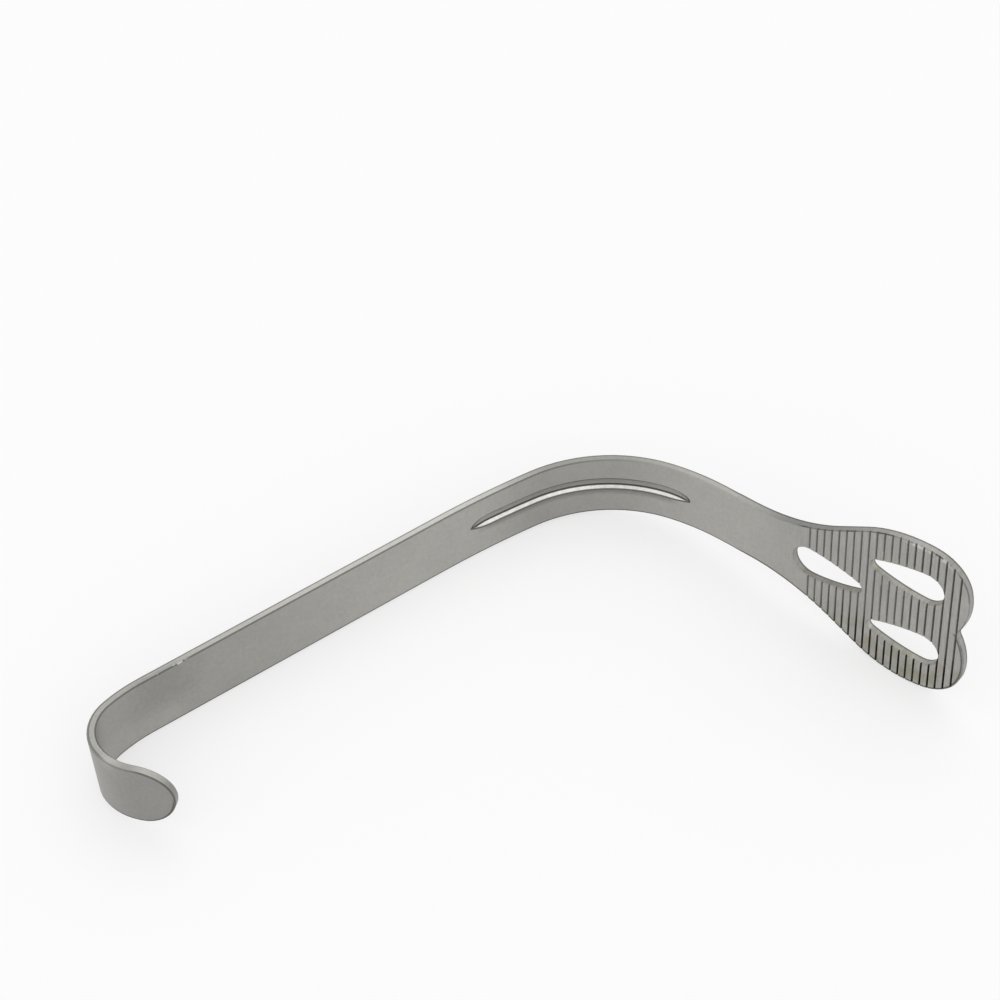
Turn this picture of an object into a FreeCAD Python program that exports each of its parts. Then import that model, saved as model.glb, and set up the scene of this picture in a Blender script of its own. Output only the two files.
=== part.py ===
import FreeCAD, Part
import math
import os

from FreeCAD import Vector

# A hand-held retractor that stays in place by itself. It is one strip of stainless steel: a rounded
# tab and a hook at one end, a straight handle, a wide bend with a pressed groove, and a heart-shaped
# blade with cross grooves and three teardrop windows. All lengths are in millimetres.

# Strip
strip_width = 14.2
strip_thickness = 1.7
strip_edge_break = 0.25

# Hook, from its rounded tip to the handle. Each radius is that of the inner face.
hook_tip_radius = 30.0
hook_tip_angle = 15.0
hook_outer_radius = 10.9
hook_outer_angle = 37.7
hook_inner_radius = 8.0
hook_inner_angle = 75.0
hook_root_radius = 30.0
hook_root_angle = 14.5

# Handle and bend, measured on the same inner face
handle_length = 66.8
bend_lead_radius = 200.0
bend_lead_angle = 6.2
bend_radius = 28.5
bend_angle = 56.8
bend_exit_radius = 50.0
bend_exit_angle = 13.5
neck_length = 6.9

# Blade. It starts where the strip begins to widen and leans slightly back towards its tip.
blade_straight_length = 8.5
blade_back_radius = 450.0
blade_edge_break = 0.2
flare_radius = 40.0
flare_angle = 29.5
flank_length = 7.0
side_radius = 23.5
shoulder_angle = 8.0
shoulder_radius = 9.3
shoulder_turn = 69.3
lobe_radius = 15.7
notch_half_width = 0.7
notch_depth = 0.15

# Teardrop windows. Places are measured from the blade's start and from its centre line.
window_round_radius = 3.7
window_tip_radius = 1.5
window_centre_distance = 10.4
window_side_radius = 38.0
middle_window_place = 14.2
outer_window_place = 39.7
outer_window_offset = 8.3

# Cross grooves on the blade's front
groove_count = 21
first_groove_place = 14.1
groove_pitch = 1.63
groove_width = 0.45
groove_depth = 0.35

# Pressed groove along the inside of the bend, deepest a little below its middle
press_depth = 0.7
press_half_width = 1.61
press_valley_drop = 0.55
press_upper_radius = 4.0
press_lead_length = 10.0
press_end_margin = 1.0
press_fade_radius = 15.0
press_fade_angle = 36.0
press_offset = 0.5
press_slope = 1.0

# Raised bead that the groove leaves on the outside of the bend
bead_radius = 2.2
bead_height = 0.5
bead_fade_angle = 17.0

# Room that cutting bodies reach past what they cut
spare = 2.0

# How closely the resting contacts and the resting angle are found, and the steepest angle tried
rest_tolerance = 0.02
rest_angle_tolerance = 1e-4
rest_angle_limit = 45.0

# Two directions closer than this are taken as parallel
parallel_tolerance = 1e-4

# A turn that faces the other way
half_turn = 180.0


class Section:
    """One straight or round stretch of a path in a plane. A positive turn is to the left."""

    def __init__(self, start, heading, length=0.0, radius=0.0, turn=0.0):
        self.start = start
        self.heading = heading
        self.radius = radius
        self.turn = turn
        self.length = length if radius == 0.0 else radius * math.radians(abs(turn))

    def heading_at(self, distance):
        return self.heading + self.turn * distance / self.length

    def point(self, distance, left=0.0):
        """The point at a distance along the stretch, moved to the left of the path."""
        heading = math.radians(self.heading_at(distance))
        normal = Vector(-math.sin(heading), math.cos(heading), 0)
        if self.radius == 0.0:
            along = Vector(math.cos(heading), math.sin(heading), 0)
            return self.start + along * distance + normal * left
        side = math.copysign(1.0, self.turn)
        first = math.radians(self.heading)
        centre = self.start + Vector(-math.sin(first), math.cos(first), 0) * (side * self.radius)
        return centre - normal * (side * self.radius - left)

    def edge(self, left=0.0):
        first = self.point(0.0, left)
        last = self.point(self.length, left)
        if self.radius == 0.0:
            return Part.LineSegment(first, last).toShape()
        return Part.Arc(first, self.point(self.length / 2, left), last).toShape()


def line(length):
    return {"length": length}


def arc(radius, turn):
    return {"radius": radius, "turn": turn}


def walk(start, heading, steps):
    """Join the steps end to end, each tangent to the one before."""
    sections = []
    for step in steps:
        section = Section(start, heading, **step)
        sections.append(section)
        start = section.point(section.length)
        heading = section.heading_at(section.length)
    return sections


def end_of(sections):
    last = sections[-1]
    return last.point(last.length), last.heading_at(last.length)


def station(sections, distance):
    """The point and heading at a distance along the sections."""
    for section in sections:
        if distance <= section.length:
            return section.point(distance), section.heading_at(distance)
        distance -= section.length
    return end_of(sections)


def blade_station(sections, distance):
    """The same on the blade, measured from where the strip begins to widen."""
    return station(sections, neck_length / 2 + distance)


def ribbon(sections, bottom, top):
    """The strip between its inner face and its outer face, upright from bottom to top."""
    inner = [section.edge() for section in sections]
    outer = [section.edge(strip_thickness) for section in sections]
    first = Part.LineSegment(inner[0].Vertexes[0].Point, outer[0].Vertexes[0].Point).toShape()
    last = Part.LineSegment(inner[-1].Vertexes[-1].Point, outer[-1].Vertexes[-1].Point).toShape()
    edges = Part.sortEdges(inner + outer + [first, last])[0]
    profile = Part.Face(Part.Wire(edges))
    profile.translate(Vector(0, 0, bottom))
    return profile.extrude(Vector(0, 0, top - bottom))


def face_frame(point, heading):
    """Local axes on the inner face: X along the strip, Y up, Z out of the face."""
    angle = math.radians(heading)
    along = Vector(math.cos(angle), math.sin(angle), 0)
    up = Vector(0, 0, 1)
    out = along.cross(up)
    matrix = FreeCAD.Matrix(along.x, up.x, out.x, point.x,
                            along.y, up.y, out.y, point.y,
                            along.z, up.z, out.z, strip_width / 2,
                            0, 0, 0, 1)
    return FreeCAD.Placement(matrix)


def through(wire, frame):
    """A body that runs through the strip, with the wire as its outline on the inner face."""
    reach = strip_thickness + 2 * spare
    body = Part.Face(wire).extrude(Vector(0, 0, 2 * reach))
    body.translate(Vector(0, 0, -reach))
    body.Placement = frame.multiply(body.Placement)
    return body


def mirrored(edges):
    return [edge.mirror(Vector(0, 0, 0), Vector(0, 1, 0)) for edge in edges]


def blade_outline():
    """The heart: a flared start, straight flanks, round shoulders and two lobes with a notch."""
    half = walk(Vector(-neck_length, strip_width / 2, 0), 0.0, [
        line(neck_length),
        arc(flare_radius, flare_angle),
        line(flank_length),
        arc(side_radius, -(flare_angle + shoulder_angle)),
        arc(shoulder_radius, -shoulder_turn)])
    shoulder = half[-1]
    lobe_centre = shoulder.point(shoulder.length, -lobe_radius)
    lobe_heading = -math.degrees(math.acos((notch_half_width - lobe_centre.y) / lobe_radius))
    shoulder_end, shoulder_heading = end_of(half)
    half += walk(shoulder_end, shoulder_heading, [arc(lobe_radius, lobe_heading - shoulder_heading)])
    upper = [section.edge() for section in half]
    lobe_end, _ = end_of(half)
    lower_end = Vector(lobe_end.x, -lobe_end.y, 0)
    notch = Part.Arc(lobe_end, Vector(lobe_end.x - notch_depth, 0, 0), lower_end).toShape()
    start = half[0].start
    back = Part.LineSegment(start, Vector(start.x, -start.y, 0)).toShape()
    return Part.Wire(Part.sortEdges(upper + mirrored(upper) + [notch, back])[0])


def window_outline():
    """A teardrop: two unequal circles joined by sides that bulge slightly and touch both."""
    to_round = window_side_radius - window_round_radius
    to_tip = window_side_radius - window_tip_radius
    distance = window_centre_distance
    side_x = (to_round ** 2 - to_tip ** 2 + distance ** 2) / (2 * distance)
    side_centre = Vector(side_x, -math.sqrt(to_round ** 2 - side_x ** 2), 0)
    tip_centre = Vector(distance, 0, 0)
    round_direction = (Vector(0, 0, 0) - side_centre).normalize()
    tip_direction = (tip_centre - side_centre).normalize()
    round_touch = side_centre + round_direction * window_side_radius
    tip_touch = side_centre + tip_direction * window_side_radius
    side_middle = side_centre + (round_direction + tip_direction).normalize() * window_side_radius
    side = Part.Arc(round_touch, side_middle, tip_touch).toShape()
    round_end = Part.Arc(round_touch, Vector(-window_round_radius, 0, 0),
                         Vector(round_touch.x, -round_touch.y, 0)).toShape()
    tip_end = Part.Arc(tip_touch, Vector(distance + window_tip_radius, 0, 0),
                       Vector(tip_touch.x, -tip_touch.y, 0)).toShape()
    return Part.Wire(Part.sortEdges([side, round_end, tip_end] + mirrored([side]))[0])


def blade(sections):
    """The blade: a tall ribbon cut to the heart's outline, with its windows."""
    half_height = strip_width / 2 + blade_length
    tall = ribbon(sections, -half_height, half_height)
    middle = blade_length / 2
    frame = face_frame(*blade_station(sections, middle))
    outline = blade_outline()
    outline.translate(Vector(-middle, 0, 0))
    body = tall.common(through(outline, frame))
    places = [(middle_window_place, 0.0, 0.0),
              (outer_window_place, outer_window_offset, half_turn),
              (outer_window_place, -outer_window_offset, half_turn)]
    for place, offset, angle in places:
        window = window_outline()
        window.rotate(Vector(0, 0, 0), Vector(0, 0, 1), angle)
        window.translate(Vector(place - middle, offset, 0))
        body = body.cut(through(window, frame))
    return body


def tab_corners(frame):
    """What the strip loses at the hook's tip, so that the tab ends in a full round."""
    radius = strip_width / 2
    block = Part.makeBox(radius + 3 * spare, strip_width + 2 * spare, 2 * (strip_thickness + spare),
                         Vector(-radius - 3 * spare, -radius - spare, -strip_thickness - spare))
    disc = Part.makeCylinder(radius, 4 * (strip_thickness + spare),
                             Vector(0, 0, -2 * (strip_thickness + spare)))
    corners = block.cut(disc)
    corners.Placement = frame.multiply(corners.Placement)
    return corners


def long_edges(body, frames):
    """The edges round the faces, without the seams that run through the thickness or straight up."""
    seams = [Vector(0, 0, 1)] + [frame.Rotation.multVec(Vector(0, 0, 1)) for frame in frames]
    chosen = []
    for edge in body.Edges:
        straight = isinstance(edge.Curve, Part.Line)
        if straight and any(edge.Curve.Direction.cross(seam).Length < parallel_tolerance
                            for seam in seams):
            continue
        chosen.append(edge)
    return chosen


def cross_grooves(sections):
    """V-shaped grooves across the blade's front, evenly spaced along it."""
    cutters = []
    height = strip_width / 2 + blade_length
    for number in range(groove_count):
        point, heading = blade_station(sections, first_groove_place + number * groove_pitch)
        frame = face_frame(point, heading)
        half = groove_width / 2
        widening = 1 + spare / groove_depth
        corners = [Vector(0, -height, -groove_depth),
                   Vector(half * widening, -height, spare),
                   Vector(-half * widening, -height, spare)]
        profile = Part.Face(Part.makePolygon(corners + corners[:1]))
        cutter = profile.extrude(Vector(0, 2 * height, 0))
        cutter.Placement = frame.multiply(cutter.Placement)
        cutters.append(cutter)
    return cutters


def swept(section, profile, left):
    """Carry a profile, drawn across the path in its plane, round one arc of the path."""
    angle = math.radians(section.heading)
    side = math.copysign(1.0, section.turn)
    centre = section.start + Vector(-math.sin(angle), math.cos(angle), 0) * (side * section.radius)
    start = section.point(0.0, left)
    face = profile.copy()
    face.rotate(Vector(0, 0, 0), Vector(0, 0, 1), section.heading)
    face.translate(Vector(start.x, start.y, strip_width / 2 + press_offset))
    return face.revolve(Vector(centre.x, centre.y, 0), Vector(0, 0, side), abs(section.turn))


def press_path(bend, fade_angle):
    """The arcs that the pressed groove follows, with tighter ones where it fades at each end."""
    lead, main = bend[0], bend[1]
    first = lead.length - press_lead_length
    lead_turn = lead.turn * press_lead_length / lead.length
    middle = walk(lead.point(first), lead.heading_at(first), [
        arc(lead.radius, lead_turn),
        arc(main.radius, main.turn * (main.length - press_end_margin) / main.length)])
    far = walk(*end_of(middle), [arc(press_fade_radius, -fade_angle)])
    back = walk(middle[0].start, middle[0].heading + half_turn, [arc(press_fade_radius, fade_angle)])
    point, heading = end_of(back)
    near = walk(point, heading - half_turn, [arc(press_fade_radius, -fade_angle)])
    return near + middle + far


def sloped(body, section):
    """Lean a body about the middle of the bend, so that it falls a little towards the blade."""
    middle = section.point(section.length / 2)
    heading = math.radians(section.heading_at(section.length / 2))
    across = Vector(-math.sin(heading), math.cos(heading), 0)
    body.rotate(Vector(middle.x, middle.y, strip_width / 2 + press_offset), across, press_slope)
    return body


def pressed_section():
    """The groove across its path: a round upper wall that meets a steeper, straight lower wall."""
    valley = Vector(0, press_depth, -press_valley_drop)
    rim = Vector(0, 0, press_half_width)
    half_chord = (rim - valley) * 0.5
    to_centre = math.sqrt(press_upper_radius ** 2 - half_chord.Length ** 2)
    centre = valley + half_chord + Vector(0, -half_chord.z, half_chord.y).normalize() * to_centre
    angle = math.acos((-spare - centre.y) / press_upper_radius)
    above = centre + Vector(0, math.cos(angle), math.sin(angle)) * press_upper_radius
    fall = (press_half_width - press_valley_drop) / press_depth
    below = Vector(0, -spare, valley.z - fall * (press_depth + spare))
    upper = Part.Arc(valley, rim, above).toShape()
    lower = Part.LineSegment(below, valley).toShape()
    front = Part.LineSegment(above, below).toShape()
    return Part.Face(Part.Wire([upper, front, lower]))


def pressed_groove(bend):
    """The cutter of the groove, part sunk in the strip's inner face."""
    profile = pressed_section()
    path = press_path(bend, press_fade_angle)
    return [sloped(swept(section, profile, 0.0), bend[1]) for section in path]


def pressed_bead(bend):
    """The raised bead on the outer face: a cap of the same radius that starts inside the strip."""
    left = strip_thickness + bead_height - bead_radius
    foot = strip_thickness / 2 - left
    half = math.sqrt(bead_radius ** 2 - foot ** 2)
    low = Vector(0, foot, -half)
    high = Vector(0, foot, half)
    cap = Part.Arc(low, Vector(0, bead_radius, 0), high).toShape()
    chord = Part.LineSegment(high, low).toShape()
    profile = Part.Face(Part.Wire([cap, chord]))
    path = press_path(bend, bead_fade_angle)
    return [sloped(swept(section, profile, left), bend[1]) for section in path]


def lowest(points, tilt):
    """The height of the lowest point once the part is turned about its handle."""
    angle = math.radians(tilt)
    return min(point.z * math.cos(angle) - point.y * math.sin(angle) for point in points)


def rest_tilt(body, blade_edge):
    """The turn about the handle at which the blade's lower lobe is as low as the handle's edge."""
    points = body.tessellate(rest_tolerance)[0]
    blade_points = [point for point in points if point.y < blade_edge]
    other_points = [point for point in points if point.y >= blade_edge]
    low, high = 0.0, rest_angle_limit
    while high - low > rest_angle_tolerance:
        tilt = (low + high) / 2
        if lowest(blade_points, tilt) < lowest(other_points, tilt):
            low = tilt
        else:
            high = tilt
    return high


hook_turn = hook_tip_angle + hook_outer_angle + hook_inner_angle + hook_root_angle
tip_spare = math.degrees(spare / hook_tip_radius)
hook = walk(Vector(0, 0, 0), hook_turn + tip_spare, [
    arc(hook_tip_radius, -hook_tip_angle - tip_spare),
    arc(hook_outer_radius, -hook_outer_angle),
    arc(hook_inner_radius, -hook_inner_angle),
    arc(hook_root_radius, -hook_root_angle)])
handle = walk(*end_of(hook), [line(handle_length)])
bend = walk(*end_of(handle), [
    arc(bend_lead_radius, -bend_lead_angle),
    arc(bend_radius, -bend_angle),
    arc(bend_exit_radius, -bend_exit_angle)])
neck = walk(*end_of(bend), [line(neck_length / 2)])
blade_length = blade_outline().optimalBoundingBox().XMax
blade_arc_length = blade_length - blade_straight_length + spare
blade_path = walk(*end_of(neck), [
    line(neck_length / 2 + blade_straight_length),
    arc(blade_back_radius, math.degrees(blade_arc_length / blade_back_radius))])

tab_frame = face_frame(*station(hook, spare + strip_width / 2))
neck_frame = face_frame(*end_of(neck))
blade_frame = face_frame(*blade_station(blade_path, blade_length / 2))

strip = ribbon(hook + handle + bend + neck, 0.0, strip_width).cut(tab_corners(tab_frame))
strip = strip.makeChamfer(strip_edge_break, long_edges(strip, [tab_frame, neck_frame]))
heart = blade(blade_path)
heart = heart.makeChamfer(blade_edge_break, long_edges(heart, [blade_frame, neck_frame]))
retractor = strip.fuse(heart).removeSplitter()
retractor = retractor.fuse(pressed_bead(bend))
retractor = retractor.cut(pressed_groove(bend))
retractor = retractor.cut(cross_grooves(blade_path)).Solids[0]

origin_y = end_of(hook)[0].y
retractor.rotate(Vector(0, origin_y, 0), Vector(1, 0, 0), -rest_tilt(retractor, end_of(neck)[0].y))
box = retractor.optimalBoundingBox()
retractor.translate(Vector(-box.Center.x, -box.Center.y, -box.ZMin))
print("valid", retractor.isValid(), "volume", retractor.Volume, "size", box.XLength, box.YLength, box.ZLength)

os.makedirs("parts", exist_ok=True)
retractor.exportStep("parts/retractor.step")
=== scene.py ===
import math

import bmesh
import bpy
from mathutils import Euler, Matrix, Vector

# A one-piece steel retractor lies on a pale table. All lengths are in metres, apart from the arcs and the
# places where a stretch starts, which are in millimetres.
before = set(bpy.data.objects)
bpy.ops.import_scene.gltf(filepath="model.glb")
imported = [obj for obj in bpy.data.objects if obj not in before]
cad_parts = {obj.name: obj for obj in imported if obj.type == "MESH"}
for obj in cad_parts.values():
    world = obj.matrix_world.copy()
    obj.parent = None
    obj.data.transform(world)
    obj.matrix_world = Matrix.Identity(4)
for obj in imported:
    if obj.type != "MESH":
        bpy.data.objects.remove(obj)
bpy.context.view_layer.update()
mm = 0.001

# The strip's own axes: X along the handle, Y towards its outer face, Z up the strip. The finished part is
# turned about the handle so that it rests on the strip's edge and one lobe.
strip_place = Vector((-62.1109, 16.4942, 3.89472)) * mm
strip_lean = math.radians(-9.51725)
strip_width = 14.2 * mm
strip_thickness = 1.7 * mm
edge_break = 0.25 * mm
edge_line_height = 6.0 * mm
face_tolerance = 0.008 * mm

# Hook tab, where its round end begins
tab_place = Vector((-6.6653, 6.1442, 0.0)) * mm
tab_heading = math.radians(128.64)

# The strip's inner face, from the hook's tip to the neck: where each stretch starts, its heading, and the
# centre and radius of its arc. The handle, between the hook's root and the bend, is straight.
handle_face = 22.055 * mm
hook_arcs = [((-7.129, 6.739), 127.2, ((1.554, 13.329), 10.9)),
             ((-9.346, 13.424), 89.5, ((-1.346, 13.354), 8.0)),
             ((-3.349, 21.100), 14.5, ((4.162, -7.945), 30.0))]
hook_tip_arc = ((16.767, 24.877), 30.0)
handle_start = (4.162, 22.055)
bend_arcs = [((70.962, 22.055), 0.0, ((70.962, -177.945), 200.0)),
             ((92.562, 20.885), -6.2, ((89.484, -7.448), 28.5)),
             ((114.878, 5.491), -63.0, ((70.327, -17.209), 50.0))]

# Pressed groove inside the bend, with the places of its painted dark rims and valley and of the painted
# shade on the face below it
bend_middle = Vector((105.67, 16.01, 0.0)) * mm
bend_middle_heading = math.radians(-34.6)
press_start = 75.0 * mm
press_end = 1.5 * mm
press_reach = 5.0 * mm
press_offset = 0.5 * mm
press_slope = math.radians(1.0)
press_half_width = 1.61 * mm
press_valley = -0.55 * mm
press_deepest = 0.8 * mm
press_upper_rim = (0.15 * mm, 0.27 * mm)
press_lower_rim = (0.12 * mm, 0.24 * mm)
press_valley_width = (0.16 * mm, 0.25 * mm)
press_valley_depth = (0.05 * mm, 0.3 * mm)
press_shade_height = (-3.1 * mm, -press_half_width, -0.1 * mm, 0.0)

# Blade, from the middle of the neck
blade_start = Vector((119.7511, -8.8912, 0.0)) * mm
blade_heading = math.radians(-76.5)
blade_straight = 11.95 * mm
blade_back_radius = 450.0 * mm
blade_edge_break = 0.2 * mm
groove_depth = 0.35 * mm
narrow_dark_depth = (0.2 * groove_depth, 0.6 * groove_depth)
wide_dark_depth = (0.0, 0.15 * groove_depth)
deepest_dark = groove_depth + 0.05 * mm

# Half of the heart's outline: its flare, its straight flank, and the arcs of its side, shoulder and lobe
flare_arc = ((3.45, 47.1), 40.0)
flank_start = (23.15, 12.286)
flank_heading = math.radians(29.5)
side_start = 29.24 * mm
side_arc = ((40.81, -4.72), 23.5)
shoulder_start = (44.1, 11.4)
shoulder_arc = ((42.79, 9.341), 9.3)
lobe_arc = ((36.55, 7.934), 15.7)

# Windows, as the ends of their middle lines, from the middle of the neck
window_reach = 4.5 * mm
middle_window = (17.65 * mm, 28.05 * mm)
outer_window = (32.75 * mm, 43.15 * mm)
outer_window_height = 8.3 * mm

# Camera, at the photograph's angle
camera_place = Vector((-167.690, -194.020, 402.380)) * mm
camera_azimuth = math.radians(39.1911)
camera_elevation = math.radians(52.3222)
camera_roll = math.radians(4.1971)
camera_lens = 90.166

# Table and light
table_size = 6.0
table_colour = (0.9, 0.9, 0.9, 1.0)
table_roughness = 0.9
table_shine = 0.1
table_glow = 0.6
white = (1.0, 1.0, 1.0, 1.0)
room_light = 0.92

# Each lamp's direction, its strength and its spread in degrees
overhead_lamp = ((0.25, 0.45, 1.0), 0.38, 50.0)
front_lamp = ((-0.1, -1.0, 0.75), 0.1, 40.0)

# Colours of the steel, of the dark lines, the darker cross grooves and the painted shade, of the painted
# highlight in the pressed groove, and of the film on it
deep_steel = (0.315, 0.312, 0.294, 1.0)
pale_steel = (0.395, 0.39, 0.367, 1.0)
dark_steel = (0.06, 0.06, 0.055, 1.0)
near_black = (0.02, 0.02, 0.018, 1.0)
olive_film = (0.285, 0.268, 0.2, 1.0)
upper_wall_shade = (0.345, 0.341, 0.321, 1.0)
deep_groove_highlight = (0.5, 0.5, 0.48, 1.0)
pale_groove_highlight = (0.82, 0.82, 0.8, 1.0)

# Patterns of the finish, of the darker cross grooves and of the painted glints: scale per metre, detail and
# roughness of the noise
grain_pattern = (9000.0, 2.0, 0.5)
mottle_pattern = (160.0, 4.0, 0.6)
speckle_pattern = (1300.0, 3.0, 0.7)
streak_pattern = (2600.0, 2.0, 0.6)
film_pattern = (330.0, 3.0, 0.5)
edge_pattern = (170.0, 3.0, 0.6)
groove_dark_pattern = (420.0, 3.0, 0.6)
rim_glint_pattern = (500.0, 3.0, 0.6)
glint_speck_pattern = (700.0, 2.0, 0.5)

# The finish's roughness, its grain, the length of its streaks, and the painted light on the windows' walls
steel_roughness = 0.42
mottle_roughness = 0.12
burnish_roughness = 0.28
grain_height = 0.00003
grain_strength = 0.25
streak_stretch = 0.06
window_wall_light_away = 0.95
window_wall_light_tipward = 1.4

# Between which values each noise counts as a patch
film_patches = (0.4, 0.65)
edge_patches = (0.42, 0.58)
groove_dark_patches = (0.3, 0.6)
rim_glint_patches = (0.38, 0.55)
glint_speck_patches = (0.5, 0.56)

# How squarely a point has to face out of the strip or the blade, up, or towards the blade's tip
broken_facing = (0.64, 0.68, 0.85, 0.95)
side_facing = 0.5
face_facing = (0.9, 0.97)
front_facing = (0.3, 0.6)
groove_wall_facing = (0.3, 0.42, 0.63, 0.66)
top_facing = 0.8
tab_highlight_facing = (0.3, 0.8)
tip_facing = (0.2, 0.7)

# Strength of the dark line on each broken edge
tab_line = 0.6
hook_outer_line = 0.3
hook_inner_line = 0.05
handle_outer_line = 0.3
handle_inner_line = 0.6
neck_line = 0.12
blade_faint_line = 0.25
blade_firm_line = 0.85
window_line = 0.05

# Strength of the film, of the darkening in the cross grooves, and of the finish's spots and streaks
lobe_film = 0.7
window_film = 0.6
least_groove_dark = 0.05
tip_groove_dark = 0.3
low_lobe_groove_dark = 0.9
thin_groove_dark = 0.75
spot_strength = 0.3
spot_least = 0.85
streak_strength = 0.5
streak_least = 0.75

# How far in from the heart's outline the painted glints on the upper lobe's rim reach
glint_rim_width = (0.5 * mm, 1.0 * mm)

# Painted shade along the far border of the sides and the lower border of the faces
border_width = 0.22 * mm
border_softness = 0.07 * mm
blade_border_share = 1.6
far_border_shade = 0.6
low_border_shade = 0.75

# Stretches along the handle over which the finish, its dark lines, the painted light and shade and the
# painted glints change; four places are a rise and then a fall
hook_root = (0.0, 3.0 * mm)
glint_speck_stretch = (6.0 * mm, 8.0 * mm, 12.0 * mm, 15.0 * mm)
reflection_dark_stretch = (-4.0 * mm, 8.0 * mm, 8.0 * mm, 22.0 * mm)
reflection_pale_stretch = (2.0 * mm, 18.0 * mm)
dark_tab_end = (-4.0 * mm, 3.0 * mm)
pale_handle = (20.0 * mm, 70.0 * mm, 78.0 * mm, 96.0 * mm)
lit_top_stretch = (2.0 * mm, 20.0 * mm, 80.0 * mm, 96.0 * mm)
shaded_bend_top = (84.0 * mm, 100.0 * mm)
lines_fade = (96.0 * mm, 118.0 * mm)
pale_neck = (108.0 * mm, 119.0 * mm)
press_shade_start = (78.0 * mm, 84.0 * mm)

# The same at right angles to the handle, towards its outer face
hook_side = (9.5 * mm, 12.5 * mm)
dark_tab_side = (4.0 * mm, 14.0 * mm)
press_shade_end = (3.0 * mm, 7.0 * mm)
hook_patch_place = 10.5 * mm
hook_patch_reach = 4.0 * mm

# The same along the tab and the blade
tab_lines_start = (-2.0 * mm, 1.0 * mm)
tab_highlight_stretch = (-5.0 * mm, 1.0 * mm)
neck_end = (2.0 * mm, 14.0 * mm)
blade_lines_start = (4.0 * mm, 14.0 * mm)
streaks_start = (6.0 * mm, 18.0 * mm)
low_dark_start = (16.0 * mm, 30.0 * mm)
dark_blade_side = (20.0 * mm, 36.0 * mm)
tip_dark_start = (34.0 * mm, 42.0 * mm)
glint_rim_stretch = (37.0 * mm, 40.0 * mm, 46.0 * mm, 49.0 * mm)

# The same up the strip and the blade, from their middle
low_film = (-14.0 * mm, -4.0 * mm)
low_dark_height = (-12.0 * mm, -2.0 * mm)
reflection_pale_height = (-6.0 * mm, 3.0 * mm)
reflection_dark_height = (-6.0 * mm, 2.0 * mm)
low_tab_border = (-2.0 * mm, 1.0 * mm)
hook_patch_height = (4.0 * mm, 7.0 * mm)
glint_speck_height = (5.0 * mm, 6.0 * mm)
glint_rim_height = (6.0 * mm, 9.0 * mm)


def place_camera():
    data = bpy.data.cameras.new("camera")
    data.lens = camera_lens
    data.sensor_width = 36.0
    data.clip_start = 0.01
    data.clip_end = 20.0
    camera = bpy.data.objects.new("camera", data)
    bpy.context.scene.collection.objects.link(camera)
    aim = Euler((math.pi / 2 - camera_elevation, 0.0, -camera_azimuth)).to_matrix()
    turned = (aim @ Matrix.Rotation(camera_roll, 3, "Z")).to_4x4()
    camera.matrix_world = Matrix.Translation(camera_place) @ turned
    bpy.context.scene.camera = camera


def seen_directly(nodes, links):
    """1 for rays from the camera, a glossy face or clear glass, 0 for the light that they share."""
    path = nodes.new("ShaderNodeLightPath")
    glossy = nodes.new("ShaderNodeMath")
    glossy.operation = "MAXIMUM"
    links.new(path.outputs["Is Camera Ray"], glossy.inputs[0])
    links.new(path.outputs["Is Glossy Ray"], glossy.inputs[1])
    either = nodes.new("ShaderNodeMath")
    either.operation = "MAXIMUM"
    links.new(glossy.outputs[0], either.inputs[0])
    links.new(path.outputs["Is Transmission Ray"], either.inputs[1])
    return either.outputs[0]


def lay_table():
    """A wide pale sheet under the part, bright enough to keep its shadow light."""
    shape = bmesh.new()
    bmesh.ops.create_grid(shape, x_segments=1, y_segments=1, size=table_size / 2)
    mesh = bpy.data.meshes.new("table")
    shape.to_mesh(mesh)
    shape.free()
    table = bpy.data.objects.new("table", mesh)
    bpy.context.scene.collection.objects.link(table)
    material = bpy.data.materials.new("pale_table")
    material.use_nodes = True
    nodes = material.node_tree.nodes
    links = material.node_tree.links
    shader = nodes["Principled BSDF"]
    shader.inputs["Base Color"].default_value = table_colour
    shader.inputs["Roughness"].default_value = table_roughness
    shader.inputs["Specular IOR Level"].default_value = table_shine
    glow = nodes.new("ShaderNodeEmission")
    glow.inputs["Color"].default_value = white
    glow.inputs["Strength"].default_value = 1.0
    share = nodes.new("ShaderNodeMath")
    share.operation = "MULTIPLY"
    links.new(seen_directly(nodes, links), share.inputs[0])
    share.inputs[1].default_value = table_glow
    mix = nodes.new("ShaderNodeMixShader")
    links.new(share.outputs[0], mix.inputs[0])
    links.new(shader.outputs[0], mix.inputs[1])
    links.new(glow.outputs[0], mix.inputs[2])
    links.new(mix.outputs[0], nodes["Material Output"].inputs["Surface"])
    mesh.materials.append(material)


def light_room():
    """An even white room with one broad lamp overhead and a fainter one in front."""
    world = bpy.data.worlds.new("room")
    bpy.context.scene.world = world
    world.use_nodes = True
    nodes = world.node_tree.nodes
    links = world.node_tree.links
    nodes.clear()
    output = nodes.new("ShaderNodeOutputWorld")
    mix = nodes.new("ShaderNodeMixShader")
    lit = nodes.new("ShaderNodeBackground")
    lit.inputs["Color"].default_value = white
    lit.inputs["Strength"].default_value = room_light
    seen = nodes.new("ShaderNodeBackground")
    seen.inputs["Color"].default_value = white
    seen.inputs["Strength"].default_value = 1.0
    links.new(seen_directly(nodes, links), mix.inputs[0])
    links.new(lit.outputs[0], mix.inputs[1])
    links.new(seen.outputs[0], mix.inputs[2])
    links.new(mix.outputs[0], output.inputs["Surface"])
    hang_lamp("overhead_lamp", *overhead_lamp)
    hang_lamp("front_lamp", *front_lamp)


def hang_lamp(name, towards, strength, spread):
    """A broad even lamp far away, in the direction given."""
    data = bpy.data.lights.new(name, "SUN")
    data.energy = strength
    data.angle = math.radians(spread)
    lamp = bpy.data.objects.new(name, data)
    bpy.context.scene.collection.objects.link(lamp)
    lamp.rotation_mode = "QUATERNION"
    lamp.rotation_quaternion = Vector(towards).to_track_quat("Z", "Y")


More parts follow.
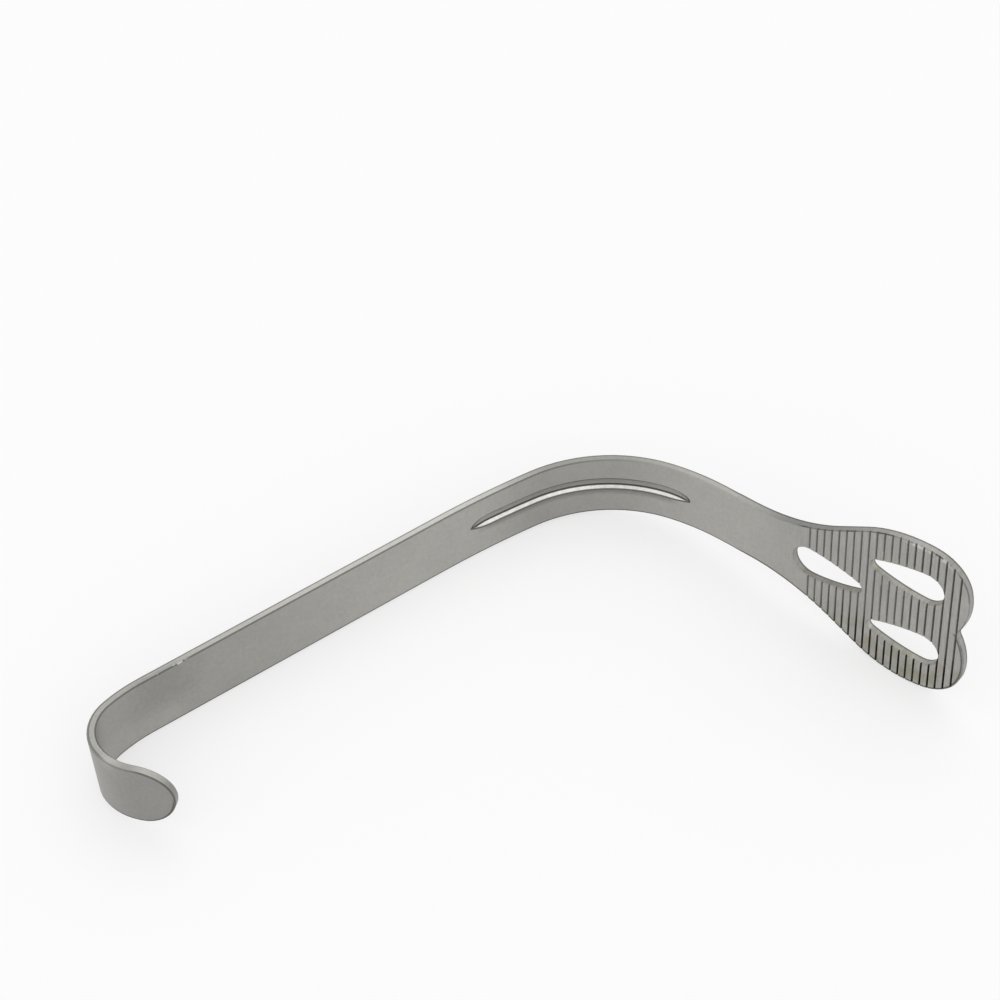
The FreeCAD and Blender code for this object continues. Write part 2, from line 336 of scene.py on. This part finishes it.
class Nodes:
    """A short way to write a material's nodes."""

    def __init__(self, name):
        self.material = bpy.data.materials.new(name)
        self.material.use_nodes = True
        self.nodes = self.material.node_tree.nodes
        self.links = self.material.node_tree.links
        self.shader = self.nodes["Principled BSDF"]

    def plug(self, socket, value):
        if isinstance(value, bpy.types.NodeSocket):
            self.links.new(value, socket)
        elif value is not None:
            socket.default_value = value

    def math(self, operation, first, second=None, third=None):
        node = self.nodes.new("ShaderNodeMath")
        node.operation = operation
        for socket, value in zip(node.inputs, (first, second, third)):
            self.plug(socket, value)
        return node.outputs[0]

    def times(self, *values):
        """All the values multiplied."""
        product = values[0]
        for value in values[1:]:
            product = self.math("MULTIPLY", product, value)
        return product

    def most(self, *values):
        """The largest of the values."""
        largest = values[0]
        for value in values[1:]:
            largest = self.math("MAXIMUM", largest, value)
        return largest

    def ramp(self, value, low, high):
        """0 below low, 1 above high, smooth between."""
        node = self.nodes.new("ShaderNodeMapRange")
        node.interpolation_type = "SMOOTHSTEP"
        self.plug(node.inputs["Value"], value)
        node.inputs["From Min"].default_value = low
        node.inputs["From Max"].default_value = high
        return node.outputs["Result"]

    def off(self, value):
        """0 where the value is 1, and 1 where it is 0."""
        return self.math("SUBTRACT", 1.0, value)

    def fall(self, value, low, high):
        """1 below low, 0 above high, smooth between."""
        return self.off(self.ramp(value, low, high))

    def band(self, value, places):
        """A ramp between the first two places, then a fall between the last two."""
        start, full, fade, end = places
        return self.times(self.ramp(value, start, full), self.fall(value, fade, end))

    def choose(self, share, first, second):
        """The first value where share is 0, the second where it is 1."""
        node = self.nodes.new("ShaderNodeMix")
        node.data_type = "FLOAT"
        self.plug(node.inputs[0], share)
        self.plug(node.inputs[2], first)
        self.plug(node.inputs[3], second)
        return node.outputs[0]

    def blend(self, share, first, second):
        """The same for colours."""
        node = self.nodes.new("ShaderNodeMix")
        node.data_type = "RGBA"
        self.plug(node.inputs[0], share)
        self.plug(node.inputs[6], first)
        self.plug(node.inputs[7], second)
        return node.outputs[2]

    def noise(self, vector, pattern):
        """Cloudy noise between 0 and 1, of a pattern's scale, detail and roughness."""
        scale, detail, roughness = pattern
        node = self.nodes.new("ShaderNodeTexNoise")
        self.plug(node.inputs["Vector"], vector)
        node.inputs["Scale"].default_value = scale
        node.inputs["Detail"].default_value = detail
        node.inputs["Roughness"].default_value = roughness
        return node.outputs["Fac"]

    def turned(self, vector, place, turn):
        """A point or a direction as it is measured from other axes."""
        node = self.nodes.new("ShaderNodeMapping")
        node.vector_type = "TEXTURE"
        self.plug(node.inputs["Vector"], vector)
        node.inputs["Location"].default_value = place
        node.inputs["Rotation"].default_value = turn
        return node.outputs[0]

    def dot(self, first, second):
        node = self.nodes.new("ShaderNodeVectorMath")
        node.operation = "DOT_PRODUCT"
        self.plug(node.inputs[0], first)
        self.plug(node.inputs[1], second)
        return node.outputs["Value"]

    def length(self, first, second):
        """The length of two distances at right angles."""
        squares = self.math("ADD", self.times(first, first), self.times(second, second))
        return self.math("SQRT", squares)

    def beyond(self, along, across, arc):
        """The distance outside an arc, which is given by its centre and radius in millimetres."""
        centre, radius = arc
        first = self.math("SUBTRACT", along, centre[0] * mm)
        second = self.math("SUBTRACT", across, centre[1] * mm)
        return self.math("SUBTRACT", self.length(first, second), radius * mm)

    def split(self, vector):
        node = self.nodes.new("ShaderNodeSeparateXYZ")
        self.plug(node.inputs[0], vector)
        return node.outputs

    def bump(self, height, distance, strength):
        node = self.nodes.new("ShaderNodeBump")
        node.inputs["Distance"].default_value = distance
        node.inputs["Strength"].default_value = strength
        self.plug(node.inputs["Height"], height)
        return node.outputs[0]


class Places:
    """Where a point is on the strip, the tab and the blade, and which way the surface faces there."""

    def __init__(self, make):
        level = (0.0, 0.0, 0.0)
        leaning = (strip_lean, 0.0, 0.0)
        texture = make.nodes.new("ShaderNodeTexCoord")
        self.whole = texture.outputs["Object"]
        self.strip = make.turned(self.whole, strip_place, leaning)
        facing = make.turned(texture.outputs["Normal"], level, leaning)
        self.along, self.left, up = make.split(self.strip)
        self.height = make.math("SUBTRACT", up, strip_width / 2)
        self.from_middle = make.math("ABSOLUTE", self.height)
        self.facing_up = make.split(facing)[2]

        self.tab_along = make.split(make.turned(self.strip, tab_place, (0.0, 0.0, tab_heading)))[0]
        before_tab = make.math("LESS_THAN", self.tab_along, 0.0)
        self.on_tab = make.times(before_tab, make.math("LESS_THAN", self.along, 0.0))
        self.from_tab_centre = make.length(self.tab_along, self.height)
        self.on_hook = make.times(make.fall(self.left, *hook_side), make.fall(self.along, *hook_root))

        blade = make.turned(self.strip, blade_start, (0.0, 0.0, blade_heading))
        blade_facing = make.turned(facing, level, (0.0, 0.0, blade_heading))
        self.blade_along, blade_left, _ = make.split(blade)
        self.facing_tip, blade_back, _ = make.split(blade_facing)
        self.blade_front = make.math("MULTIPLY", blade_back, -1.0)
        self.on_blade = make.math("GREATER_THAN", self.blade_along, 0.0)
        self.off_blade = make.off(self.on_blade)

        # 1 on the flat faces, 0 on the sides, and about 0.7 on the broken edges
        upright = make.off(make.times(self.facing_up, self.facing_up))
        strip_flat = make.math("SQRT", make.math("MAXIMUM", upright, 0.0))
        tab_flat = self.facing_centre(make, facing, hook_tip_arc)
        blade_flat = make.math("ABSOLUTE", self.blade_front)
        self.flat = make.choose(self.on_blade, make.choose(self.on_tab, strip_flat, tab_flat), blade_flat)
        self.side = make.math("LESS_THAN", self.flat, side_facing)
        self.broken = make.band(self.flat, broken_facing)

        # How far a point lies behind the strip's inner face or the blade's front
        depth = self.from_arc(make, hook_tip_arc)
        for start, heading, arc in hook_arcs:
            depth = make.choose(self.past(make, start, heading), depth, self.from_arc(make, arc))
        on_handle = self.past(make, handle_start, 0.0)
        depth = make.choose(on_handle, depth, make.math("SUBTRACT", self.left, handle_face))
        for start, heading, arc in bend_arcs:
            depth = make.choose(self.past(make, start, heading), depth, self.from_arc(make, arc))
        bent = make.math("MAXIMUM", make.math("SUBTRACT", self.blade_along, blade_straight), 0.0)
        leaned = make.math("DIVIDE", make.times(bent, bent), 2 * blade_back_radius)
        self.depth = make.choose(self.on_blade, depth, make.math("SUBTRACT", blade_left, leaned))

    def from_arc(self, make, arc):
        """The distance outside an arc of the inner face."""
        return make.beyond(self.along, self.left, arc)

    def facing_centre(self, make, facing, arc):
        """How squarely the surface faces an arc's centre, or away from it."""
        centre = Vector((*arc[0], 0.0)) * mm
        spoke = make.nodes.new("ShaderNodeVectorMath")
        spoke.operation = "SUBTRACT"
        make.plug(spoke.inputs[0], self.strip)
        make.plug(spoke.inputs[1], centre)
        level_spoke = make.nodes.new("ShaderNodeVectorMath")
        level_spoke.operation = "MULTIPLY"
        make.plug(level_spoke.inputs[0], spoke.outputs[0])
        make.plug(level_spoke.inputs[1], (1.0, 1.0, 0.0))
        unit = make.nodes.new("ShaderNodeVectorMath")
        unit.operation = "NORMALIZE"
        make.plug(unit.inputs[0], level_spoke.outputs[0])
        return make.math("ABSOLUTE", make.dot(facing, unit.outputs[0]))

    def past(self, make, start, heading):
        """1 beyond a place on the strip's path, 0 before it."""
        direction = Vector((math.cos(math.radians(heading)), math.sin(math.radians(heading)), 0.0))
        reached = direction.dot(Vector((*start, 0.0)) * mm)
        return make.math("GREATER_THAN", make.dot(self.strip, direction), reached)


def inside_outline(make, places):
    """How far a point of the blade lies inside the heart's outline."""
    along = places.blade_along
    flare = make.beyond(along, places.from_middle, flare_arc)
    ahead = make.times(make.math("SUBTRACT", along, flank_start[0] * mm), math.sin(flank_heading))
    out = make.times(make.math("SUBTRACT", places.from_middle, flank_start[1] * mm), math.cos(flank_heading))
    flank = make.math("SUBTRACT", ahead, out)
    side = make.math("MAXIMUM", make.beyond(along, places.from_middle, side_arc),
                     make.beyond(along, places.from_middle, lobe_arc))
    at_shoulder = make.times(make.math("GREATER_THAN", along, shoulder_start[0] * mm),
                             make.math("GREATER_THAN", places.from_middle, shoulder_start[1] * mm))
    round_end = make.choose(at_shoulder, side, make.beyond(along, places.from_middle, shoulder_arc))
    inside = make.choose(make.math("GREATER_THAN", along, flank_start[0] * mm), flare, flank)
    past_flank = make.math("GREATER_THAN", along, side_start)
    return make.choose(past_flank, inside, make.times(round_end, -1.0))


def from_line(make, along, across, ends):
    """The distance from a straight line between two places along the blade."""
    nearest = make.math("MINIMUM", make.math("MAXIMUM", along, ends[0]), ends[1])
    return make.length(make.math("SUBTRACT", along, nearest), across)


def near_windows(make, places):
    """1 on the blade close to a window, 0 elsewhere."""
    outer_across = make.math("SUBTRACT", places.from_middle, outer_window_height)
    middle = from_line(make, places.blade_along, places.height, middle_window)
    outer = from_line(make, places.blade_along, outer_across, outer_window)
    near = make.math("LESS_THAN", make.math("MINIMUM", middle, outer), window_reach)
    return make.times(near, places.on_blade)


def painted_rim_glints(make, places, inside):
    """Painted highlights: glints along the rim of the upper lobe, and a few glints on the handle's edge by
    the hook.
    """
    glint_noise = make.ramp(make.noise(places.whole, rim_glint_pattern), *rim_glint_patches)
    rim = make.times(make.band(places.blade_along, glint_rim_stretch), make.fall(inside, *glint_rim_width),
                     make.ramp(places.height, *glint_rim_height),
                     make.ramp(places.blade_front, *front_facing), glint_noise)
    speck_glint = make.ramp(make.noise(places.whole, glint_speck_pattern), *glint_speck_patches)
    edge = make.times(places.broken, make.ramp(places.height, *glint_speck_height))
    return make.most(rim, make.times(speck_glint, edge, make.band(places.along, glint_speck_stretch)))


def edge_lines(make, places, windows, glints):
    """The broken edges, which read as thin dark lines: firm on the handle and hook, faint by the neck."""
    rim = make.math("GREATER_THAN", places.from_middle, edge_line_height)
    lined = make.times(places.broken, make.most(rim, places.on_tab, places.on_blade))
    outer = make.math("GREATER_THAN", places.depth, strip_thickness / 2)
    hook_outer = make.choose(make.fall(places.tab_along, *tab_lines_start), hook_outer_line, tab_line)
    on_hook = make.choose(outer, hook_inner_line, hook_outer)
    on_handle = make.choose(outer, handle_inner_line, handle_outer_line)
    past_hook = make.choose(make.fall(places.along, *lines_fade), neck_line, on_handle)
    on_strip = make.choose(places.on_hook, past_hook, on_hook)
    patchy = make.ramp(make.noise(places.whole, edge_pattern), *edge_patches)
    past_neck = make.choose(patchy, blade_faint_line, blade_firm_line)
    on_blade = make.choose(make.ramp(places.blade_along, *blade_lines_start), neck_line, past_neck)
    strength = make.choose(places.on_blade, on_strip, on_blade)
    return make.times(lined, make.choose(windows, strength, window_line), make.off(glints))


def painted_border_shade(make, places, inside):
    """Painted shade along the far border of the sides and the lower border of the faces."""
    far = strip_thickness - edge_break - border_width
    far_line = make.times(places.side, make.ramp(places.depth, far - border_softness, far),
                          make.off(places.on_hook), far_border_shade)
    border = strip_width / 2 - edge_break - border_width
    low_strip = make.fall(places.height, -border, border_softness - border)
    low_tab = make.times(make.ramp(places.from_tab_centre, border - border_softness, border),
                         make.fall(places.height, *low_tab_border))
    blade_border = blade_edge_break + blade_border_share * border_width
    low_blade = make.times(make.fall(inside, blade_border, blade_border + border_softness),
                           make.math("LESS_THAN", places.height, 0.0))
    low = make.choose(places.on_blade, make.choose(places.on_tab, low_strip, low_tab), low_blade)
    return make.most(far_line, make.times(low, make.ramp(places.flat, *face_facing), low_border_shade))


def cross_groove_darkening(make, places):
    """Darkening deep in the cross grooves, stronger and wider towards the blade's tip and its lower lobe, in
    patches.
    """
    walls = make.band(places.blade_front, groove_wall_facing)
    patchy = make.ramp(make.noise(places.whole, groove_dark_pattern), *groove_dark_patches)
    tipward = make.ramp(places.blade_along, *tip_dark_start)
    downward = make.times(make.fall(places.height, *low_dark_height),
                          make.ramp(places.blade_along, *low_dark_start))
    narrow = make.ramp(places.depth, *narrow_dark_depth)
    wide = make.ramp(places.depth, *wide_dark_depth)
    deep = make.choose(make.most(tipward, downward), narrow, wide)
    inside = make.math("LESS_THAN", places.depth, deepest_dark)
    strength = make.most(make.times(tipward, tip_groove_dark), make.times(downward, low_lobe_groove_dark), least_groove_dark)
    return make.times(walls, deep, inside, places.on_blade, make.choose(patchy, thin_groove_dark, 1.0), strength)


class PressedGroove:
    """The pressed groove's parts, from its upper rim down to the face under its lower rim: painted shade on
    the rims, the upper wall, the valley and that face, and a painted highlight on the lower wall.
    """

    def __init__(self, make, places):
        tangent = Vector((math.cos(bend_middle_heading), math.sin(bend_middle_heading), 0.0))
        towards_blade = make.math("SUBTRACT", make.dot(places.strip, tangent), bend_middle.dot(tangent))
        drop = make.math("MULTIPLY_ADD", towards_blade, math.tan(press_slope), -press_offset)
        above = make.math("ADD", places.height, drop)
        reach = make.times(make.math("GREATER_THAN", places.along, press_start),
                           make.math("GREATER_THAN", places.left, press_end),
                           make.math("LESS_THAN", places.from_middle, press_reach))
        under_face = make.math("GREATER_THAN", places.depth, face_tolerance)
        sunk = make.times(reach, under_face, make.math("LESS_THAN", places.depth, press_deepest))
        # Masks for the painted shade on the upper wall, the rims, the valley and the face below, and for the
        # painted highlight on the lower wall
        self.upper_wall = make.times(sunk, make.math("GREATER_THAN", above, press_valley))
        self.upper_rim = make.times(self.upper_wall, make.fall(places.depth, *press_upper_rim))
        lower = make.times(sunk, make.off(make.math("GREATER_THAN", above, press_valley)))
        self.lower_wall = make.times(lower, make.ramp(places.depth, *press_lower_rim))
        self.lower_rim = make.times(lower, make.fall(places.depth, *press_lower_rim))
        from_valley = make.math("ABSOLUTE", make.math("SUBTRACT", above, press_valley))
        self.valley = make.times(sunk, make.fall(from_valley, *press_valley_width),
                                 make.ramp(places.depth, *press_valley_depth))
        face = make.times(reach, make.off(under_face))
        ends = make.times(make.ramp(places.along, *press_shade_start),
                          make.ramp(places.left, *press_shade_end))
        self.shaded_face = make.times(face, ends, make.band(above, press_shade_height))


def tone(make, places, windows, glints):
    """How much lighter or darker the steel is from place to place: partly its own tone, and partly painted
    light: lighter top edges, painted shade on the top by the bend, a painted highlight on the tab's top, a
    painted reflection on the inner face by the hook, the painted glints, and painted light on the windows'
    walls.
    """
    along = places.along
    blade_along = places.blade_along
    upward = make.math("GREATER_THAN", places.facing_up, top_facing)
    inner = make.math("LESS_THAN", places.depth, strip_thickness / 2)
    handle = make.band(along, pale_handle)
    neck = make.times(make.ramp(along, *pale_neck), make.fall(blade_along, *neck_end))
    tab = make.times(make.fall(along, *dark_tab_end), make.fall(places.left, *dark_tab_side))
    # Painted light: the top edges are lighter along the handle, with painted shade on them past the bend
    top = make.times(upward, make.band(along, lit_top_stretch))
    bend_top = make.times(upward, make.ramp(along, *shaded_bend_top), places.off_blade)
    # Painted highlight on the tab's top edge
    tab_top_highlight = make.times(make.fall(places.tab_along, *tab_highlight_stretch), places.on_hook, places.side,
                         make.ramp(places.facing_up, *tab_highlight_facing))
    # A lighter patch on the upper part of the hook
    from_hook_patch = make.math("ABSOLUTE", make.math("SUBTRACT", places.left, hook_patch_place))
    pale_hook_patch = make.times(make.fall(from_hook_patch, 0.0, hook_patch_reach), places.on_hook,
                        make.ramp(places.height, *hook_patch_height))
    # Painted reflection on the inner face by the hook: darker above, lighter towards its foot
    hook_reflection_dark = make.times(inner, make.band(along, reflection_dark_stretch),
                           make.ramp(places.height, *reflection_dark_height))
    hook_reflection_pale = make.times(inner, make.fall(along, *reflection_pale_stretch),
                            make.fall(places.height, *reflection_pale_height))
    land = make.times(make.ramp(blade_along, *neck_end), make.ramp(places.blade_front, *face_facing))
    blade_side = make.times(places.on_blade, places.side, make.fall(blade_along, *dark_blade_side))
    parts = ((handle, 0.22), (neck, 0.24), (land, 0.12), (tab, -0.14), (top, 0.18), (bend_top, -0.16),
             (tab_top_highlight, 0.42), (pale_hook_patch, 0.2), (blade_side, -0.28), (hook_reflection_dark, -0.16), (hook_reflection_pale, 0.1),
             (glints, 0.6))
    total = 1.0
    for part, change in parts:
        total = make.math("MULTIPLY_ADD", part, change, total)
    # Painted light on the windows' walls, lighter where they face the blade's tip
    window_side = make.times(windows, places.side)
    tipward = make.ramp(places.facing_tip, *tip_facing)
    in_window = make.choose(tipward, window_wall_light_away, window_wall_light_tipward)
    return make.times(total, make.choose(window_side, 1.0, in_window))


def steel_colour(make, places, mottle, windows):
    """The mottled steel, under the olive film in the windows and on the lower lobe."""
    colour = make.blend(mottle, deep_steel, pale_steel)
    patches = make.ramp(make.noise(places.whole, film_pattern), *film_patches)
    low_lobe = make.times(places.on_blade, make.fall(places.height, *low_film), lobe_film)
    in_windows = make.times(windows, places.side, window_film)
    film = make.times(patches, make.most(low_lobe, in_windows))
    return make.blend(film, colour, olive_film)


def satin_steel():
    """Fine-blasted stainless steel, with dark lines on its edges and darker cross grooves, and with painted
    light and shade: on its borders, in the pressed groove, on its top edges and windows, and as glints.
    """
    make = Nodes("satin_steel_finish")
    places = Places(make)
    press = PressedGroove(make, places)
    windows = near_windows(make, places)
    inside = inside_outline(make, places)
    glints = painted_rim_glints(make, places, inside)
    grain = make.noise(places.whole, grain_pattern)
    mottle = make.noise(places.whole, mottle_pattern)
    speckle = make.noise(places.whole, speckle_pattern)

    colour = steel_colour(make, places, mottle, windows)
    # Painted highlight for the pressed groove's lower wall
    groove_highlight = make.blend(speckle, deep_groove_highlight, pale_groove_highlight)
    # Laid over the steel: the dark edge lines, painted shade on the face under the pressed groove and on its
    # upper wall, rims and valley, a painted highlight on its lower wall, the darker cross grooves, and
    # painted shade on the borders
    layers = ((edge_lines(make, places, windows, glints), 1.0, dark_steel),
              (press.shaded_face, 0.4, dark_steel),
              (press.upper_wall, 1.0, upper_wall_shade),
              (press.lower_wall, 1.0, groove_highlight),
              (press.lower_rim, 0.75, dark_steel),
              (press.upper_rim, 0.85, dark_steel),
              (press.valley, 0.9, near_black),
              (cross_groove_darkening(make, places), 1.0, near_black),
              (painted_border_shade(make, places, inside), 1.0, dark_steel))
    for place, share, over in layers:
        colour = make.blend(make.times(place, share), colour, over)

    # Fine streaks across the blade, as a polishing wheel leaves them
    across = make.nodes.new("ShaderNodeCombineXYZ")
    make.plug(across.inputs[0], places.blade_along)
    make.plug(across.inputs[2], make.times(places.height, streak_stretch))
    streak = make.noise(across.outputs[0], streak_pattern)
    streak = make.math("MULTIPLY_ADD", streak, streak_strength, streak_least)
    streaks = make.choose(make.ramp(places.blade_along, *streaks_start), 1.0, streak)

    spots = make.math("MULTIPLY_ADD", speckle, spot_strength, spot_least)
    shade = make.times(tone(make, places, windows, glints), spots, streaks)
    scale = make.nodes.new("ShaderNodeVectorMath")
    scale.operation = "SCALE"
    make.plug(scale.inputs[0], colour)
    make.plug(scale.inputs["Scale"], shade)
    make.plug(make.shader.inputs["Base Color"], scale.outputs[0])
    make.shader.inputs["Metallic"].default_value = 1.0
    rough = make.math("MULTIPLY_ADD", mottle, mottle_roughness, steel_roughness)
    rough = make.choose(press.lower_wall, rough, burnish_roughness)
    make.plug(make.shader.inputs["Roughness"], rough)
    make.plug(make.shader.inputs["Normal"], make.bump(grain, grain_height, grain_strength))
    return make.material


place_camera()
lay_table()
light_room()
finish = satin_steel()
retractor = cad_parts["retractor"]
for number in range(len(retractor.material_slots)):
    retractor.material_slots[number].material = finish

bpy.context.scene.view_settings.view_transform = "Standard"
